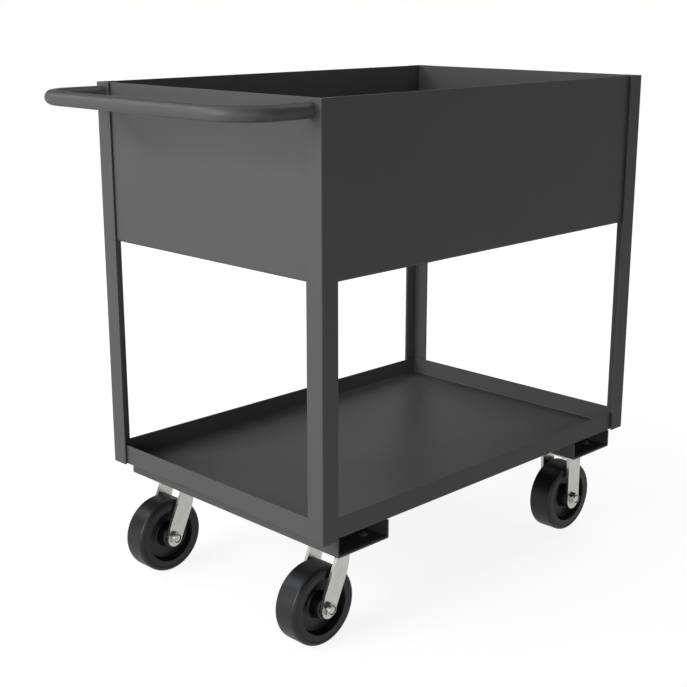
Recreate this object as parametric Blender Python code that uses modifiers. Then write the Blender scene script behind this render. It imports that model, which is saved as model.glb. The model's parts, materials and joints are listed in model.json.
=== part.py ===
"""Stock cart: angle posts, a deep sheet bin on top, a shallow shelf below, a bent tube
handle and four casters under two channels, two that swivel and two that are rigid.

Metres, +Z up, +X the way the cart is pushed, with the handle behind. The origin is on the
floor, in the middle of the whole cart's box. Left is +Y and right is -Y."""

import math

import bmesh
import bpy
from mathutils import Matrix, Vector

# Welded body, over the outsides of the corner posts
LENGTH = 0.921
WIDTH = 0.6145
HEIGHT = 0.991

# Clearances: parts that touch, and parts that run in each other
SEAT = 0.0003
RUNNING = 0.0004

# Corner posts, rolled steel angle
POST_LEG = 0.038
POST_WALL = 0.0048
POST_ROOT_RADIUS = 0.004
POST_TOE_RADIUS = 0.003
POST_FOOT_RISE = 0.001

# Folded sheet trays
SHEET = 0.0027
TRAY_FOLD = 0.0055
BIN_DEPTH = 0.3035
SHELF_DEPTH = 0.041

# Channels that carry the casters
CHANNEL_WIDTH = 0.131
CHANNEL_HEIGHT = 0.0357
CHANNEL_SHEET = 0.0034
CHANNEL_FOLD = 0.0038
CHANNEL_SETBACK = 0.041
CHANNEL_INSET = 0.0054
WELD_NUT_FLATS = 0.0165
WELD_NUT_HEIGHT = 0.005

# Push handle, bent pipe welded to the posts
HANDLE_DIAMETER = 0.0267
HANDLE_WALL = 0.0028
HANDLE_REACH = 0.145
HANDLE_BEND = 0.071
HANDLE_INSET = 0.02175
HANDLE_DROP = 0.0197

# Casters: overall, and where they stand
CASTER_HEIGHT = 0.1905
CASTER_INSET = 0.08145
SWIVEL_TRAIL = 0.0505
RIGID_SHIFT = 0.0024

# Caster plates, with slotted bolt holes
PLATE_LENGTH = 0.1016
PLATE_WIDTH = 0.1143
PLATE_THICKNESS = 0.0063
PLATE_CORNER = 0.009
BOLT_PITCH = 0.0762
SLOT_WIDTH = 0.011
SLOT_SPREAD_IN = 0.0048
SLOT_SPREAD_OUT = 0.0079

# Caster legs and crowns
LEG_THICKNESS = 0.00635
LEG_GAP = 0.0629
LEG_BEND = 0.012
SWIVEL_LEG_WIDTH = 0.038
SWIVEL_LEG_END = 0.034
SWIVEL_LEG_DROP = 0.002
SWIVEL_LEG_TAPER = 0.025
SWIVEL_LEG_LEAN = math.radians(24.8)
SWIVEL_CROWN_BACK = 0.030
SWIVEL_CROWN_FRONT = 0.003
SWIVEL_FLARE = 0.040
RIGID_LEG_WIDTH = 0.0405
RIGID_LEG_DROP = 0.0038
RIGID_CROWN_LENGTH = 0.051
RIGID_FLARE = 0.045

# Ball race between a swivel plate and its fork
BALL_COUNT = 10
BALL_DIAMETER = 0.0078
BALL_CIRCLE = 0.062
RACE_OPENING = 0.004
RACE_CLEARANCE = 0.0005
RACE_LIP_WIDTH = 0.003
RACE_LIP_CLEARANCE = 0.0008
CROWN_DIAMETER = 0.0778
CAGE_WIDTH = 0.0036
CAGE_THICKNESS = 0.0012

# Kingpin
KINGPIN_DIAMETER = 0.0159
KINGPIN_HEAD = 0.027
KINGPIN_HEAD_DEPTH = 0.005
KINGPIN_NUT_FLATS = 0.0238
KINGPIN_NUT_HEIGHT = 0.006
KINGPIN_FLANGE = 0.034
KINGPIN_FLANGE_THICKNESS = 0.003
KINGPIN_TIP = 0.0015

# Wheels
WHEEL_DIAMETER = 0.152
WHEEL_WIDTH = 0.053
TREAD_CORNER = 0.0095
HUB_DIAMETER = 0.044
HUB_END_CLEARANCE = 0.0005
RIM_BORE = 0.108
WEB_THICKNESS = 0.019
RECESS_DRAFT = 0.0035

# Roller bearing, bushing and axle
ROLLER_COUNT = 6
ROLLER_DIAMETER = 0.005
BUSHING_DIAMETER = 0.0222
BEARING_RING = 0.0025
AXLE_DIAMETER = 0.0159
AXLE_FLATS = 0.0238
AXLE_HEAD = 0.0095
AXLE_NUT_HEIGHT = 0.0068
AXLE_NUT_COLLAR = 0.0026
AXLE_NUT_COLLAR_DIAMETER = 0.0205
AXLE_TIP = 0.001

# Caster bolts
BOLT_DIAMETER = 0.0094
BOLT_FLATS = 0.0143
BOLT_HEAD = 0.0042
BOLT_TIP = 0.001

# Facets
ROUND_STEPS = 24
RACE_STEPS = 20
SMALL_STEPS = 12
BOLT_STEPS = 8
BALL_STEPS = 6
ARC_STEPS = 3
LEG_END_STEPS = 8
SLOT_END_STEPS = 4
HANDLE_BEND_STEPS = 6
TREAD_STEPS = 2
HANDLE_SIDES = 4
MERGE = 0.00001

# Heights and places that follow from the sizes above
CHANNEL_BOTTOM = CASTER_HEIGHT + SEAT
SHELF_BOTTOM = CHANNEL_BOTTOM + CHANNEL_HEIGHT + SEAT
POST_BOTTOM = SHELF_BOTTOM + POST_FOOT_RISE
BIN_BOTTOM = HEIGHT - BIN_DEPTH
HANDLE_HEIGHT = HEIGHT - HANDLE_DROP
DECK_X = (HANDLE_REACH + HANDLE_DIAMETER / 2) / 2
HANDLE_SPAN = WIDTH - 2 * HANDLE_INSET
CASTER_TRACK = WIDTH - 2 * CASTER_INSET
CHANNEL_X = LENGTH / 2 - CHANNEL_SETBACK - CHANNEL_WIDTH / 2
AXLE_HEIGHT = WHEEL_DIAMETER / 2
PLATE_BOTTOM = CASTER_HEIGHT - PLATE_THICKNESS
BALL_HEIGHT = PLATE_BOTTOM - RACE_OPENING / 2
CROWN_TOP = BALL_HEIGHT - RACE_OPENING / 2
CROWN_BOTTOM = CROWN_TOP - LEG_THICKNESS
LEG_OUTSIDE = LEG_GAP / 2 + LEG_THICKNESS
BUSHING_BORE = AXLE_DIAMETER + 2 * SEAT
HUB_BORE = BUSHING_DIAMETER + 2 * ROLLER_DIAMETER + 4 * SEAT

PAINT = ("powder_coat", (0.115, 0.117, 0.12), 0.45, 0.0)
ZINC = ("zinc_plate", (0.46, 0.47, 0.44), 0.38, 0.9)
MOULDED = ("moulded_wheel", (0.018, 0.018, 0.019), 0.5, 0.0)
BEARING_STEEL = ("bearing_steel", (0.4, 0.4, 0.4), 0.25, 1.0)


def clear_scene():
    for obj in list(bpy.data.objects):
        bpy.data.objects.remove(obj, do_unlink=True)


def collection(name):
    group = bpy.data.collections.new(name)
    bpy.context.scene.collection.children.link(group)
    return group


def material(finish):
    name, colour, roughness, metallic = finish
    made = bpy.data.materials.get(name)
    if made is None:
        made = bpy.data.materials.new(name)
        made.use_nodes = True
        shader = made.node_tree.nodes["Principled BSDF"]
        shader.inputs["Base Color"].default_value = (*colour, 1.0)
        shader.inputs["Roughness"].default_value = roughness
        shader.inputs["Metallic"].default_value = metallic
    return made


def node(name, mesh, finish, location=(0, 0, 0), turn=0.0, parent=None):
    """One sub-part of the cart, from a finished or a raw mesh."""
    mesh.materials.clear()
    mesh.materials.append(material(finish))
    obj = bpy.data.objects.new(name, mesh)
    obj.location = location
    obj.rotation_euler = (0, 0, turn)
    obj.parent = parent
    CART.objects.link(obj)
    return obj


def guide(name, mesh):
    """A shape that only cuts, joins or trims another."""
    obj = bpy.data.objects.new(name, mesh)
    obj.hide_render = True
    obj.display_type = "WIRE"
    CUTTERS.objects.link(obj)
    return obj


def smooth(mesh):
    mesh.shade_smooth()
    mesh.set_sharp_from_angle(angle=math.radians(35))
    return mesh


def evaluated(obj):
    """The object's mesh with its modifiers done, with loose caps welded."""
    bpy.context.view_layer.update()
    graph = bpy.context.evaluated_depsgraph_get()
    mesh = bpy.data.meshes.new_from_object(obj.evaluated_get(graph), depsgraph=graph)
    bm = bmesh.new()
    bm.from_mesh(mesh)
    bmesh.ops.remove_doubles(bm, verts=bm.verts, dist=MERGE)
    bm.to_mesh(mesh)
    bm.free()
    return smooth(mesh)


def combine(name, base, *steps):
    """Cut, join or trim a mesh: each step is a boolean operation and a list of meshes."""
    body = guide(name, base)
    tools = []
    for operation, meshes in steps:
        for index, mesh in enumerate(meshes):
            tool = guide(f"{name}_{operation.lower()}_{index}", mesh)
            modifier = body.modifiers.new(tool.name, "BOOLEAN")
            modifier.operation = operation
            modifier.solver = "EXACT"
            modifier.object = tool
            tools.append(tool)
    mesh = evaluated(body)
    for used in [body, *tools]:
        bpy.data.objects.remove(used, do_unlink=True)
    mesh.name = name
    return mesh


def rod(radius, low, high, steps=SMALL_STEPS, centre=(0, 0), turn=0.0):
    """An upright cylinder, or a prism when it has few steps."""
    mesh = bpy.data.meshes.new("rod")
    bm = bmesh.new()
    bmesh.ops.create_cone(
        bm, cap_ends=True, segments=steps, radius1=radius, radius2=radius, depth=high - low
    )
    bmesh.ops.rotate(bm, cent=(0, 0, 0), matrix=Matrix.Rotation(turn, 3, "Z"), verts=bm.verts)
    bmesh.ops.translate(bm, vec=(*centre, (low + high) / 2), verts=bm.verts)
    bm.to_mesh(mesh)
    bm.free()
    return mesh


def hexagon(flats, low, high, centre=(0, 0)):
    return rod(flats / 2 / math.cos(math.pi / 6), low, high, 6, centre)


def turned(name, profile, steps, closed=False):
    """A profile at +X, outer side running down, turned about Z."""
    mesh = bpy.data.meshes.new(name)
    edges = [(i, i + 1) for i in range(len(profile) - 1)]
    if closed:
        edges.append((len(profile) - 1, 0))
    mesh.from_pydata([(radius, 0, height) for radius, height in profile], edges, [])
    obj = guide(name, mesh)
    screw = obj.modifiers.new("turn", "SCREW")
    screw.steps = steps
    screw.render_steps = steps
    screw.use_merge_vertices = True
    screw.merge_threshold = MERGE
    finished = evaluated(obj)
    bpy.data.objects.remove(obj, do_unlink=True)
    return finished


def prism(name, outline, low, high):
    """A flat outline in X and Y, filled, from one height to another."""
    curve = bpy.data.curves.new(name, "CURVE")
    curve.dimensions = "2D"
    curve.fill_mode = "BOTH"
    curve.extrude = (high - low) / 2
    spline = curve.splines.new("POLY")
    spline.points.add(len(outline) - 1)
    for point, (x, y) in zip(spline.points, outline):
        point.co = (x, y, 0, 1)
    spline.use_cyclic_u = True
    obj = guide(name, curve)
    mesh = evaluated(obj)
    bpy.data.objects.remove(obj, do_unlink=True)
    bpy.data.curves.remove(curve)
    mesh.transform(Matrix.Translation((0, 0, (low + high) / 2)))
    return mesh


def arc(centre, radius, start, end, steps=ARC_STEPS):
    """Points along an arc, with its angles in degrees."""
    points = []
    for i in range(steps + 1):
        angle = math.radians(start + (end - start) * i / steps)
        points.append((centre[0] + radius * math.cos(angle), centre[1] + radius * math.sin(angle)))
    return points


def swept_corner(start, corner, end, steps=ARC_STEPS):
    """Points along a curve from start to end that heads for the corner between them."""
    points = []
    for i in range(steps + 1):
        t = i / steps
        points.append(
            tuple(
                (1 - t) ** 2 * a + 2 * t * (1 - t) * b + t * t * c
                for a, b, c in zip(start, corner, end)
            )
        )
    return points


def rounded_rectangle(length, width, radius):
    x = length / 2 - radius
    y = width / 2 - radius
    outline = []
    for turn, (sx, sy) in enumerate(((1, 1), (-1, 1), (-1, -1), (1, -1))):
        outline += arc((sx * x, sy * y), radius, 90 * turn, 90 * turn + 90)
    return outline


def across(mesh):
    """Turn a mesh that stands along Z so that it lies along Y, with its top towards +Y."""
    mesh.transform(Matrix.Rotation(-math.pi / 2, 4, "X"))
    return mesh


def on_side(mesh):
    """Turn an outline drawn in X and Y so that its Y stands up and it is extruded along Y."""
    mesh.transform(Matrix.Rotation(math.pi / 2, 4, "X"))
    return mesh


def along(mesh):
    """Turn an outline drawn in X and Y so that it faces along X, with its Y standing up."""
    mesh.transform(Matrix.Rotation(math.pi / 2, 4, "Z") @ Matrix.Rotation(math.pi / 2, 4, "X"))
    return mesh


# Welded body

def build_posts():
    """Rolled angle: sharp outer corner, fillet at the root, rounded toes."""
    root = POST_WALL + POST_ROOT_RADIUS
    toe = POST_LEG - POST_TOE_RADIUS
    toe_centre = POST_WALL - POST_TOE_RADIUS
    outline = [(0, 0), (POST_LEG, 0)]
    outline += arc((toe, toe_centre), POST_TOE_RADIUS, 0, 90)
    outline += arc((root, root), POST_ROOT_RADIUS, 270, 180)
    outline += arc((toe_centre, toe), POST_TOE_RADIUS, 0, 90)
    outline += [(0, POST_LEG)]
    mesh = prism("corner_post", outline, POST_BOTTOM, HEIGHT)
    corners = (
        ("corner_post_handle_right", -1, -1, 0),
        ("corner_post_far_right", 1, -1, 90),
        ("corner_post_far_left", 1, 1, 180),
        ("corner_post_handle_left", -1, 1, 270),
    )
    for name, sx, sy, turn in corners:
        place = (DECK_X + sx * LENGTH / 2, sy * WIDTH / 2, 0)
        node(name, mesh, PAINT, place, math.radians(turn))


def tray(name, bottom, depth):
    """A folded sheet tray inside the posts: an open box, its folds rounded, then given
    its thickness inwards."""
    inset = POST_WALL + SEAT
    size = (LENGTH - 2 * inset, WIDTH - 2 * inset, depth)
    mesh = bpy.data.meshes.new(name)
    bm = bmesh.new()
    bmesh.ops.create_cube(bm, size=1.0)
    bmesh.ops.scale(bm, vec=size, verts=bm.verts)
    top = [face for face in bm.faces if face.normal.z > 0.9]
    bmesh.ops.delete(bm, geom=top, context="FACES_ONLY")
    folds = [edge for edge in bm.edges if not edge.is_boundary]
    bmesh.ops.bevel(
        bm, geom=folds, offset=TRAY_FOLD, segments=3, profile=0.5, affect="EDGES", material=-1
    )
    bm.to_mesh(mesh)
    bm.free()
    obj = node(name, smooth(mesh), PAINT, (DECK_X, 0, bottom + depth / 2))
    shell = obj.modifiers.new("sheet", "SOLIDIFY")
    shell.thickness = SHEET
    shell.offset = -1
    shell.use_even_offset = True
    return obj


def build_channels():
    """A folded channel with its web down and its legs up, drilled for two casters, with a
    weld nut over each hole."""
    half = CHANNEL_WIDTH / 2
    inner_fold = CHANNEL_FOLD - CHANNEL_SHEET
    low = CHANNEL_FOLD
    outline = [(-half, CHANNEL_HEIGHT)]
    outline += arc((-half + CHANNEL_FOLD, low), CHANNEL_FOLD, 180, 270)
    outline += arc((half - CHANNEL_FOLD, low), CHANNEL_FOLD, 270, 360)
    outline += [(half, CHANNEL_HEIGHT), (half - CHANNEL_SHEET, CHANNEL_HEIGHT)]
    outline += arc((half - CHANNEL_FOLD, low), inner_fold, 360, 270)
    outline += arc((-half + CHANNEL_FOLD, low), inner_fold, 270, 180)
    outline += [(-half + CHANNEL_SHEET, CHANNEL_HEIGHT)]
    reach = WIDTH / 2 - CHANNEL_INSET
    for name, side, shift in (("handle", -1, 0.0), ("far", 1, RIGID_SHIFT)):
        section = on_side(prism("section", outline, -reach, reach))
        nuts = []
        holes = []
        for sy in (-1, 1):
            for dx, dy in bolt_places():
                place = (dx - shift, sy * CASTER_TRACK / 2 + dy)
                nut_top = CHANNEL_SHEET + WELD_NUT_HEIGHT
                nuts.append(hexagon(WELD_NUT_FLATS, CHANNEL_SHEET / 2, nut_top, place))
                holes.append(rod(bolt_hole() / 2, -SHEET, nut_top + SHEET, BOLT_STEPS, place))
        mesh = combine("channel", section, ("UNION", nuts), ("DIFFERENCE", holes))
        place = (DECK_X + side * CHANNEL_X, 0, CHANNEL_BOTTOM)
        node(f"caster_channel_{name}_end", mesh, PAINT, place)


def build_handle():
    """One bent pipe, square-cut where it is welded to the faces of the two posts."""
    start = -LENGTH / 2 - SEAT
    back = -LENGTH / 2 - HANDLE_REACH
    side = HANDLE_SPAN / 2
    bend = (back + HANDLE_BEND, side - HANDLE_BEND)
    half = [(start, side)]
    half += arc(bend, HANDLE_BEND, 90, 180, HANDLE_BEND_STEPS)
    route = half + [(x, -y) for x, y in reversed(half)]
    curve = bpy.data.curves.new("handle_route", "CURVE")
    curve.dimensions = "3D"
    curve.bevel_depth = HANDLE_DIAMETER / 2
    curve.bevel_resolution = HANDLE_SIDES
    spline = curve.splines.new("POLY")
    spline.points.add(len(route) - 1)
    for point, (x, y) in zip(spline.points, route):
        point.co = (x, y, 0, 1)
    pipe = guide("handle_route", curve)
    mesh = evaluated(pipe)
    bpy.data.objects.remove(pipe, do_unlink=True)
    bpy.data.curves.remove(curve)
    obj = node("push_handle", mesh, PAINT, (DECK_X, 0, HANDLE_HEIGHT))
    wall = obj.modifiers.new("pipe_wall", "SOLIDIFY")
    wall.thickness = HANDLE_WALL
    wall.offset = -1
    return obj


# Caster plates and bolts

def bolt_places():
    half = BOLT_PITCH / 2
    return [(sx * half, sy * half) for sx in (-1, 1) for sy in (-1, 1)]


def bolt_hole():
    return BOLT_DIAMETER + 2 * RUNNING


def bolt_slot(x, y):
    """A slot that runs from the square bolt pattern out to the long one."""
    length = math.hypot(SLOT_SPREAD_IN, SLOT_SPREAD_OUT)
    radius = SLOT_WIDTH / 2
    outline = arc((length, 0), radius, -90, 90, SLOT_END_STEPS)
    outline += arc((0, 0), radius, 90, 270, SLOT_END_STEPS)
    slot = prism("slot", outline, PLATE_BOTTOM - SHEET, CASTER_HEIGHT + SHEET)
    turn = math.atan2(math.copysign(SLOT_SPREAD_OUT, y), -math.copysign(SLOT_SPREAD_IN, x))
    slot.transform(Matrix.Translation((x, y, 0)) @ Matrix.Rotation(turn, 4, "Z"))
    return slot


def plate_blank():
    outline = rounded_rectangle(PLATE_LENGTH, PLATE_WIDTH, PLATE_CORNER)
    return prism("plate", outline, PLATE_BOTTOM, CASTER_HEIGHT)


def hex_bolt(name, diameter, flats, head, length, tip, steps):
    """A bolt along +Z from under its head, which lies below zero."""
    shank = [
        (0, length), (diameter / 2 - tip, length), (diameter / 2, length - tip),
        (diameter / 2, -head / 2), (0, -head / 2),
    ]
    return combine(name, hexagon(flats, -head, 0), ("UNION", [turned("shank", shank, steps)]))


def build_caster_bolts(casters):
    """Four bolts a caster, up through the slots and the channel into the weld nuts."""
    start = PLATE_BOTTOM - SEAT
    end = CHANNEL_BOTTOM + CHANNEL_SHEET + WELD_NUT_HEIGHT + BOLT_TIP
    sizes = (BOLT_DIAMETER, BOLT_FLATS, BOLT_HEAD, end - start, BOLT_TIP)
    mesh = hex_bolt("caster_bolt", *sizes, BOLT_STEPS)
    number = 1
    for caster in casters:
        for x, y in bolt_places():
            node(f"caster_bolt_{number:02d}", mesh, ZINC, (x, y, start), parent=caster)
            number += 1


# Swivel casters

def race_space():
    """The ring of free space that the balls run in, cut out of the plate and the crown."""
    centre = (BALL_CIRCLE / 2, BALL_HEIGHT)
    section = arc(centre, BALL_DIAMETER / 2 + RACE_CLEARANCE, 390, 30, BALL_STEPS)[:-1]
    return turned("race", section, RACE_STEPS, closed=True)


def build_swivel_plates(casters):
    """A flat plate with the upper race sunk in its underside, a lip round the race, and a
    countersink for the kingpin."""
    lip = CROWN_TOP + RACE_LIP_CLEARANCE
    outside = CROWN_DIAMETER / 2 - RACE_LIP_CLEARANCE
    inside = outside - RACE_LIP_WIDTH
    sunk = PLATE_BOTTOM + PLATE_THICKNESS / 2
    ring = [(inside, sunk), (outside, sunk), (outside, lip), (inside, lip)]
    bore = KINGPIN_DIAMETER / 2 + SEAT
    head = KINGPIN_HEAD / 2 + SEAT
    seat = CASTER_HEIGHT - KINGPIN_HEAD_DEPTH - 2 * SEAT
    sink = [
        (0, CASTER_HEIGHT + SHEET), (head, CASTER_HEIGHT + SHEET), (head, CASTER_HEIGHT),
        (bore, seat), (bore, PLATE_BOTTOM - SHEET), (0, PLATE_BOTTOM - SHEET),
    ]
    mesh = combine(
        "swivel_plate",
        plate_blank(),
        ("UNION", [turned("lip", ring, RACE_STEPS, closed=True)]),
        ("DIFFERENCE", [bolt_slot(x, y) for x, y in bolt_places()]),
        ("DIFFERENCE", [turned("sink", sink, SMALL_STEPS), race_space()]),
    )
    for side, caster in casters.items():
        node(f"swivel_plate_{side}", mesh, ZINC, parent=caster)


def build_ball_rings(casters):
    """A ring of balls held in a flat cage, free in the grooves above and below it."""
    inner = BALL_CIRCLE / 2 - CAGE_WIDTH / 2
    outer = BALL_CIRCLE / 2 + CAGE_WIDTH / 2
    top = BALL_HEIGHT + CAGE_THICKNESS / 2
    low = BALL_HEIGHT - CAGE_THICKNESS / 2
    cage = turned("cage", [(inner, top), (outer, top), (outer, low), (inner, low)], RACE_STEPS, True)
    balls = bpy.data.meshes.new("balls")
    bm = bmesh.new()
    for i in range(BALL_COUNT):
        angle = 2 * math.pi * i / BALL_COUNT
        x = math.cos(angle) * BALL_CIRCLE / 2
        y = math.sin(angle) * BALL_CIRCLE / 2
        place = Matrix.Translation((x, y, BALL_HEIGHT)) @ Matrix.Rotation(angle, 4, "Z")
        bmesh.ops.create_uvsphere(
            bm, u_segments=BALL_STEPS, v_segments=BALL_STEPS // 2, radius=BALL_DIAMETER / 2, matrix=place
        )
    bm.to_mesh(balls)
    bm.free()
    mesh = combine("ball_ring", cage, ("UNION", [balls]))
    for side, caster in casters.items():
        node(f"ball_ring_{side}", mesh, BEARING_STEEL, parent=caster)


def leg_section(top, bottom):
    """The crown and both legs seen end on, in Y and Z, as one strip bent twice."""
    side = LEG_OUTSIDE
    inside = LEG_GAP / 2
    bend = (side - LEG_BEND, top - LEG_BEND)
    inner_bend = LEG_BEND - LEG_THICKNESS
    half = [(side, bottom)]
    half += arc(bend, LEG_BEND, 0, 90)
    under = arc(bend, inner_bend, 90, 0) + [(inside, bottom)]
    outline = half + [(-y, z) for y, z in reversed(half)]
    outline += [(-y, z) for y, z in reversed(under)] + under
    return outline


def bent_strip(top, back, front):
    return along(prism("strip", leg_section(top, 0.0), back, front))


def axle_hole(x):
    hole = across(rod(BUSHING_BORE / 2, -LEG_OUTSIDE * 2, LEG_OUTSIDE * 2))
    hole.transform(Matrix.Translation((x, 0, AXLE_HEIGHT)))
    return hole


def build_forks(casters):
    """A round crown with the lower race in it, and two legs that lean back to the axle."""
    lean = math.degrees(SWIVEL_LEG_LEAN)
    slope = math.tan(SWIVEL_LEG_LEAN)
    across_leg = SWIVEL_LEG_WIDTH / 2 / math.cos(SWIVEL_LEG_LEAN)
    radius = SWIVEL_LEG_END / 2
    shift = SWIVEL_LEG_WIDTH / 2 - radius
    turn = Matrix.Rotation(-SWIVEL_LEG_LEAN, 2)
    end = Vector((-SWIVEL_TRAIL, AXLE_HEIGHT)) + turn @ Vector((shift, -SWIVEL_LEG_DROP))
    strip_top = CROWN_TOP - SEAT
    shoulder = strip_top - LEG_BEND

    def edge(side, height):
        return (-SWIVEL_TRAIL + side * across_leg + (height - AXLE_HEIGHT) * slope, height)

    def height_at(side, x):
        return AXLE_HEIGHT + (x + SWIVEL_TRAIL - side * across_leg) / slope

    front_bend = (SWIVEL_CROWN_FRONT, height_at(1, SWIVEL_CROWN_FRONT))
    outline = arc(end, radius, 180 - lean, 360 - lean, LEG_END_STEPS)
    outline += swept_corner(
        edge(1, shoulder - SWIVEL_FLARE), front_bend, (SWIVEL_CROWN_FRONT, shoulder)
    )
    outline += [(SWIVEL_CROWN_FRONT, HEIGHT), (-SWIVEL_CROWN_BACK, HEIGHT)]
    outline += [(-SWIVEL_CROWN_BACK, height_at(-1, -SWIVEL_CROWN_BACK))]
    outline += [edge(-1, AXLE_HEIGHT + SWIVEL_LEG_TAPER)]
    shape = on_side(prism("leg_shape", outline, -LEG_OUTSIDE - SHEET, LEG_OUTSIDE + SHEET))
    back = -SWIVEL_TRAIL - SWIVEL_LEG_WIDTH
    strip = bent_strip(strip_top, back, SWIVEL_CROWN_FRONT + SHEET)
    crown = rod(CROWN_DIAMETER / 2, CROWN_BOTTOM, CROWN_TOP, RACE_STEPS)
    bore = rod(KINGPIN_DIAMETER / 2 + RUNNING, CROWN_BOTTOM - SHEET, CROWN_TOP + SHEET)
    mesh = combine(
        "fork",
        strip,
        ("INTERSECT", [shape]),
        ("UNION", [crown]),
        ("DIFFERENCE", [bore, race_space(), axle_hole(-SWIVEL_TRAIL)]),
    )
    for side, caster in casters.items():
        node(f"fork_{side}", mesh, ZINC, parent=caster)


def build_kingpins(casters):
    """A pin with a countersunk head flush in the plate, and its flanged nut under the crown."""
    radius = KINGPIN_DIAMETER / 2
    head = KINGPIN_HEAD / 2
    top = CASTER_HEIGHT - SEAT
    nut_top = CROWN_BOTTOM - SEAT - RUNNING
    flange_low = nut_top - KINGPIN_FLANGE_THICKNESS
    nut_low = flange_low - KINGPIN_NUT_HEIGHT
    end = nut_low - KINGPIN_TIP
    pin = [
        (0, top), (head - SEAT, top), (radius, top - KINGPIN_HEAD_DEPTH),
        (radius, end + KINGPIN_TIP), (radius - KINGPIN_TIP, end), (0, end),
    ]
    pin_mesh = turned("kingpin", pin, SMALL_STEPS)
    nut_mesh = combine(
        "kingpin_nut",
        hexagon(KINGPIN_NUT_FLATS, nut_low, nut_top - KINGPIN_FLANGE_THICKNESS / 2),
        ("UNION", [rod(KINGPIN_FLANGE / 2, flange_low, nut_top, SMALL_STEPS)]),
        ("DIFFERENCE", [rod(radius + SEAT, nut_low - SHEET, nut_top + SHEET)]),
    )
    for side, caster in casters.items():
        node(f"kingpin_{side}", pin_mesh, ZINC, parent=caster)
        node(f"kingpin_nut_{side}", nut_mesh, ZINC, parent=caster)


# Rigid casters

def build_rigid_brackets(casters):
    """A slotted plate with a bent strip welded under it, its straight legs rounded below."""
    radius = RIGID_LEG_WIDTH / 2
    half = RIGID_CROWN_LENGTH / 2
    end = (0, AXLE_HEIGHT - RIGID_LEG_DROP)
    shoulder = PLATE_BOTTOM - LEG_THICKNESS
    start = (radius, shoulder - RIGID_FLARE)
    flare = swept_corner(start, (radius, shoulder), (half, shoulder))
    outline = arc(end, radius, 180, 360, LEG_END_STEPS)
    outline += flare
    outline += [(half, HEIGHT), (-half, HEIGHT)]
    outline += [(-x, z) for x, z in reversed(flare)]
    shape = on_side(prism("leg_shape", outline, -LEG_OUTSIDE - SHEET, LEG_OUTSIDE + SHEET))
    strip = bent_strip(PLATE_BOTTOM + SEAT, -half - SHEET, half + SHEET)
    mesh = combine(
        "rigid_bracket",
        strip,
        ("INTERSECT", [shape]),
        ("DIFFERENCE", [axle_hole(0)]),
        ("UNION", [plate_blank()]),
        ("DIFFERENCE", [bolt_slot(x, y) for x, y in bolt_places()]),
    )
    for side, caster in casters.items():
        node(f"rigid_bracket_{side}", mesh, ZINC, parent=caster)


# Wheels and axles

def wheel_mesh():
    """A moulded wheel: long hub, thin web, rim with a drafted recess and rounded corners.
    Its facets lie at the true radius, with one of them flat on the floor."""
    radius = WHEEL_DIAMETER / 2 / math.cos(math.pi / ROUND_STEPS)
    half = WHEEL_WIDTH / 2
    hub_end = LEG_GAP / 2 - HUB_END_CLEARANCE
    hub = HUB_DIAMETER / 2
    rim = RIM_BORE / 2
    web = WEB_THICKNESS / 2
    side = [(HUB_BORE / 2, hub_end), (hub, hub_end), (hub + RECESS_DRAFT, web)]
    side += [(rim - RECESS_DRAFT, web), (rim, half)]
    corner = (radius - TREAD_CORNER, half - TREAD_CORNER)
    side += arc(corner, TREAD_CORNER, 90, 0, TREAD_STEPS)
    profile = side + [(r, -y) for r, y in reversed(side)]
    mesh = turned("wheel", profile, ROUND_STEPS, closed=True)
    mesh.transform(Matrix.Rotation(math.pi / ROUND_STEPS, 4, "Z"))
    return across(mesh)


def bearing_mesh():
    """Rollers round the bushing, their ends held in the two rings of a cage."""
    bushing = BUSHING_DIAMETER / 2
    circle = bushing + SEAT + ROLLER_DIAMETER / 2
    end = LEG_GAP / 2 - 2 * HUB_END_CLEARANCE
    face = end - BEARING_RING
    radius = (ROLLER_DIAMETER - SEAT) / 2
    rollers = bpy.data.meshes.new("rollers")
    bm = bmesh.new()
    for i in range(ROLLER_COUNT):
        angle = 2 * math.pi * i / ROLLER_COUNT
        place = Matrix.Rotation(angle, 4, "Z") @ Matrix.Translation((circle, 0, 0))
        bmesh.ops.create_cone(
            bm, cap_ends=True, segments=6, radius1=radius, radius2=radius,
            depth=2 * face + BEARING_RING, matrix=place,
        )
    bm.to_mesh(rollers)
    bm.free()
    steps = 2 * ROLLER_COUNT
    inner = (bushing + SEAT) / math.cos(math.pi / steps)
    outer = HUB_BORE / 2 - SEAT
    rings = []
    for top, bottom in ((end, face), (-face, -end)):
        ring = [(inner, top), (outer, top), (outer, bottom), (inner, bottom)]
        rings.append(turned("ring", ring, steps, closed=True))
    return across(combine("bearing", rollers, ("UNION", rings)))


def bushing_mesh():
    end = LEG_GAP / 2 - SEAT
    outer = BUSHING_DIAMETER / 2
    inner = BUSHING_BORE / 2
    ring = [(inner, end), (outer, end), (outer, -end), (inner, -end)]
    return across(turned("bushing", ring, SMALL_STEPS, closed=True))


def axle_bolt_mesh():
    """Its head lies on the left leg, and it runs towards the right."""
    reach = 2 * (LEG_OUTSIDE + SEAT) + AXLE_NUT_HEIGHT + AXLE_NUT_COLLAR - AXLE_TIP
    sizes = (AXLE_DIAMETER, AXLE_FLATS, AXLE_HEAD, reach, AXLE_TIP)
    mesh = hex_bolt("axle_bolt", *sizes, SMALL_STEPS)
    mesh.transform(Matrix.Rotation(math.pi / 2, 4, "X"))
    mesh.transform(Matrix.Translation((0, LEG_OUTSIDE + SEAT, 0)))
    return mesh


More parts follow.
